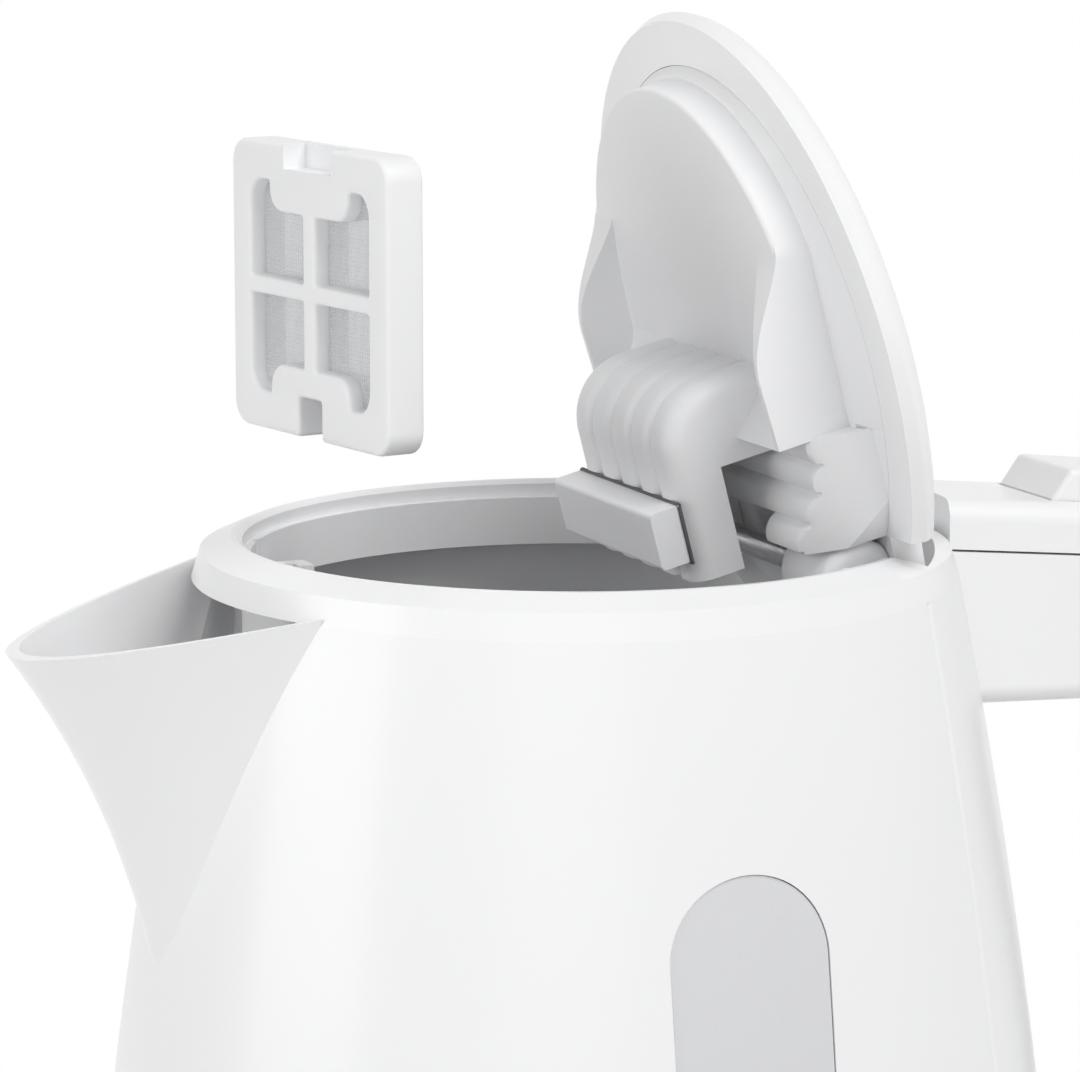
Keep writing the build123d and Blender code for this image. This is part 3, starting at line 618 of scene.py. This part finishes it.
def mouldSieve():
    body, cutter = putInScene("sieve", thickenSieve()), putInScene("notch", notchBlock())
    cut = body.modifiers.new("notch", "BOOLEAN")
    cut.operation, cut.solver, cut.object = "DIFFERENCE", "EXACT", cutter
    shape = bmesh.new()
    shape.from_mesh(plainMesh(body))
    bpy.data.objects.remove(body)
    bpy.data.objects.remove(cutter)
    # the curve's X and Y become the part's Y and Z
    shape.transform(Matrix(((0, 0, -1, 0), (1, 0, 0, 0), (0, 1, 0, 0), (0, 0, 0, 1))))
    return finishPiece("sieveFrame", shape, sievePlace, filterFinish, "filter", "filter_frame")


print("filter frame moulded:", len(mouldSieve().data.polygons), "faces")

# woven net of the filter: each strand goes over one and under the next
net = dict(wide=0.0354, high=0.0320, pitch=0.00032, strand=0.000078, swing=0.00007, sides=3, ends=1.5)
netCut = dict(setBack=-0.0006, slotHalf=0.0045, slotTop=-0.0141)


def weaveNet():
    p = Pattern("netWeave", net)
    wide, high, pitch, ends = p.size("wide"), p.size("high"), p.size("pitch"), p.size("ends")
    turns = math.pi / pitch
    wave = p.sums("COSINE", p.place(1) * turns) * p.sums("COSINE", p.place(2) * turns) * p.size("swing")
    shapes = []
    for along, across, length, span, side in (("z", "y", high, wide, 1.0), ("y", "z", wide, high, -1.0)):
        run = p.line((0, 0, 0), p.vector(**{along: length}))
        run = p.make("GeometryNodeResampleCurve", {"mode": "COUNT"},
                     {"Curve": run, "Count": length / pitch + ends})
        spots = p.row(span / pitch + ends, (0, 0, 0), p.vector(**{across: pitch}))
        strands = p.make("GeometryNodeRealizeInstances", None, {"Geometry": p.copies(spots, run)})
        strands = p.shift(strands, Offset=p.vector(x=wave * side))
        shapes.append(p.tube(strands, p.size("strand"), p.size("sides")))
    piece = p.bake("filterNet", shapes, netFinish)
    piece.data.transform(Matrix.Translation((netCut["setBack"], -net["wide"] / 2, -net["high"] / 2)))
    cut = bmesh.new()
    cut.from_mesh(piece.data)
    inSlot = [v for v in cut.verts if abs(v.co.y) < netCut["slotHalf"] and v.co.z < netCut["slotTop"]]
    bmesh.ops.delete(cut, geom=inSlot, context="VERTS")
    cut.to_mesh(piece.data)
    cut.free()
    piece.data.transform(sievePlace)
    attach(piece, "filter")
    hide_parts("filter_mesh")
    return piece


print("net woven:", len(weaveNet().data.polygons), "faces")

# thin dark bead laid along the seam between the hinge arm and its bar, so that the seam shows as a dark line
bead = dict(radius=0.32, half=18.4, front=15.1, back=23.9, rise=0.05, sides=8, crease=60.0)


def layBead():
    front, back, half, sides = bead["front"], bead["back"], bead["half"], bead["sides"]
    z = hinge["rim"] - arm["drop"] + bead["rise"]
    turns = [2.0 * math.pi * k / sides for k in range(sides)]
    shape = bmesh.new()
    rings = []
    for x, y in ((back, half), (front, half), (front, -half), (back, -half)):
        corner = Vector((x, y, z))
        outward = Vector((1.0, math.copysign(1.0, y), 0.0))
        spots = [corner + bead["radius"] * (math.cos(a) * outward + Vector((0, 0, math.sin(a)))) for a in turns]
        rings.append([shape.verts.new(spot) for spot in spots])
    for i, first in enumerate(rings):
        second = rings[(i + 1) % len(rings)]
        for k in range(sides):
            m = (k + 1) % sides
            shape.faces.new((first[k], first[m], second[m], second[k]))
    return finishPiece("armBead", shape, lidPlace, beadFinish, "lid", None, bead["crease"])


print("bead laid:", len(layBead().data.polygons), "faces")

# cross-head screws that hold the plate under the power base
screws = dict(count=4, ring=0.046, radius=0.0031, rim=0.0026, depth=0.0008, cross=0.0042, blade=0.0009,
              low=0.0013, sides=40, seed=7)


def driveScrews():
    p = Pattern("screwRing", screws)
    cross, blade, depth = p.size("cross"), p.size("blade"), p.size("depth")
    head = p.make("GeometryNodeMeshCone", None, {"Vertices": p.size("sides"), "Radius Bottom": p.size("rim"),
                                                 "Radius Top": p.size("radius"), "Depth": depth})
    blades = [p.make("GeometryNodeMeshCube", None, {"Size": p.vector(x, y, depth)})
              for x, y in ((cross, blade), (blade, cross))]
    head = p.make("GeometryNodeMeshBoolean", {"operation": "DIFFERENCE"}, {"Mesh 1": head, "Mesh 2": blades})
    ring = p.make("GeometryNodeMeshCircle", None, {"Vertices": p.size("count"), "Radius": p.size("ring")})
    ring = p.shift(ring, Offset=p.vector(z=p.size("low")))
    turn = p.make("FunctionNodeRandomValue", {"data_type": "FLOAT"}, {"Max": math.pi, "Seed": p.size("seed")}, 1)
    piece = p.bake("plateScrews", [p.copies(ring, head, Rotation=p.vector(z=turn))], heaterFinish)
    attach(piece, "power_base")
    return piece


print("screws driven:", len(driveScrews().data.polygons), "faces")

# half-round level marks low on both windows, every second one shorter
marks = dict(count=7, middle=0.0, low=0.07, step=0.008, reach=0.0035, shorter=0.4, radius=0.0004, sides=12,
             sunk=0.00022, away=0.12, ray=0.2)


def markLevels():
    p = Pattern("levelMarks", marks)
    bar = p.line(p.vector(x=0.0 - p.size("reach")), p.vector(x=p.size("reach")))
    bar = p.tube(bar, p.size("radius"), p.size("sides"))
    length = 1.0 - p.size("shorter") * p.sums("MODULO", p.make("GeometryNodeInputIndex"), 2.0)
    shapes = []
    for window, side in (("window_near", -1.0), ("window_far", 1.0)):
        start = p.vector(p.size("middle"), p.size("away") * side, p.size("low"))
        spots = p.row(p.size("count"), start, p.vector(z=p.size("step")))
        wall = p.make("GeometryNodeObjectInfo", None, {"Object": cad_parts[window]}, "Geometry")
        hit = p.make("GeometryNodeRaycast", None, {"Target Geometry": wall, "Ray Direction": (0, -side, 0),
                                                   "Ray Length": p.size("ray")}, "Hit Position")
        spots = p.shift(spots, Position=hit, Offset=p.vector(y=p.size("sunk") * -side))
        shapes.append(p.copies(spots, bar, Scale=p.vector(length, 1.0, 1.0)))
    piece = p.bake("levelTicks", shapes, bushFinish)
    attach(piece, "jug")
    return piece


print("levels marked:", len(markLevels().data.polygons), "faces")

# floor, light and camera
studio = dict(floor=(-8, -8, 8, 30), floorColour=(0.86, 0.86, 0.86), floorRough=0.9, clearFrom=0.24,
              clearTo=0.42, room=0.34, lampAim=(0, 0, 0.17), rimHeight=0.2066, away=0.7074, azimuth=22.3,
              elevation=9.567, lens=160.0, sensor=36.0, nearest=0.05, aim=(575.4, 531.0), picture=(1080, 1072))
lamps = dict(keyLamp=dict(place=(0.3, -1.05, 1.6), size=1.1, power=18.5),
             frontLamp=dict(place=(-0.7, -1.5, 0.5), size=1.0, power=2.0),
             leftLamp=dict(place=(-1.5, 0.1, 0.5), size=1.0, power=7.0))
white = rgb(1, 1, 1)


# pale floor that fades into the white background
def layFloor():
    x0, y0, x1, y1 = studio["floor"]
    mesh = bpy.data.meshes.new("floor")
    mesh.from_pydata([(x0, y0, 0), (x1, y0, 0), (x1, y1, 0), (x0, y1, 0)], [], [(0, 1, 2, 3)])
    floor = putInScene("floor", mesh)
    f = Finish("floorPale")
    clear = f.range(f.radius(), studio["clearFrom"], studio["clearTo"], 0.0, 1.0)
    plain = f.make("ShaderNodeBsdfPrincipled", None, {"Base Color": rgb(*studio["floorColour"]),
                                                      "Roughness": studio["floorRough"]})
    glow = f.make("ShaderNodeEmission", None, {"Color": white, "Strength": 1.0})
    mesh.materials.append(f.close(f.make("ShaderNodeMixShader", None, {0: clear * f.seen(), 1: plain, 2: glow})))


def aimAlong(holder, direction):
    holder.rotation_euler = direction.to_track_quat("-Z", "Y").to_euler()


def lightRoom():
    world = bpy.data.worlds.new("room")
    bpy.context.scene.world = world
    world.use_nodes = True
    w = Book(world.node_tree)
    strength = studio["room"] + w.seen() * (1.0 - studio["room"])
    glow = w.make("ShaderNodeBackground", None, {"Color": white, "Strength": strength})
    w.make("ShaderNodeOutputWorld", None, {"Surface": glow})
    for name, look in lamps.items():
        lamp = bpy.data.lights.new(name, "AREA")
        lamp.shape = "SQUARE"
        lamp.size = look["size"]
        lamp.energy = look["power"]
        holder = putInScene(name, lamp)
        holder.location = look["place"]
        aimAlong(holder, Vector(studio["lampAim"]) - Vector(look["place"]))


def setCamera():
    a, e = math.radians(studio["azimuth"]), math.radians(studio["elevation"])
    back = Vector((-math.sin(a) * math.cos(e), -math.cos(a) * math.cos(e), math.sin(e)))
    wide, high = studio["picture"]
    camera = bpy.data.cameras.new("photoCamera")
    camera.lens = studio["lens"]
    camera.sensor_width = studio["sensor"]
    camera.sensor_fit = "HORIZONTAL"
    camera.shift_x = (wide / 2 - studio["aim"][0]) / wide
    camera.shift_y = (studio["aim"][1] - high / 2) / wide
    camera.clip_start = studio["nearest"]
    holder = putInScene("photoCamera", camera)
    holder.location = Vector((0, 0, studio["rimHeight"])) + studio["away"] * back
    aimAlong(holder, -back)
    bpy.context.scene.camera = holder


bpy.context.scene.view_settings.view_transform = "Standard"
layFloor()
lightRoom()
setCamera()
print("studio set")
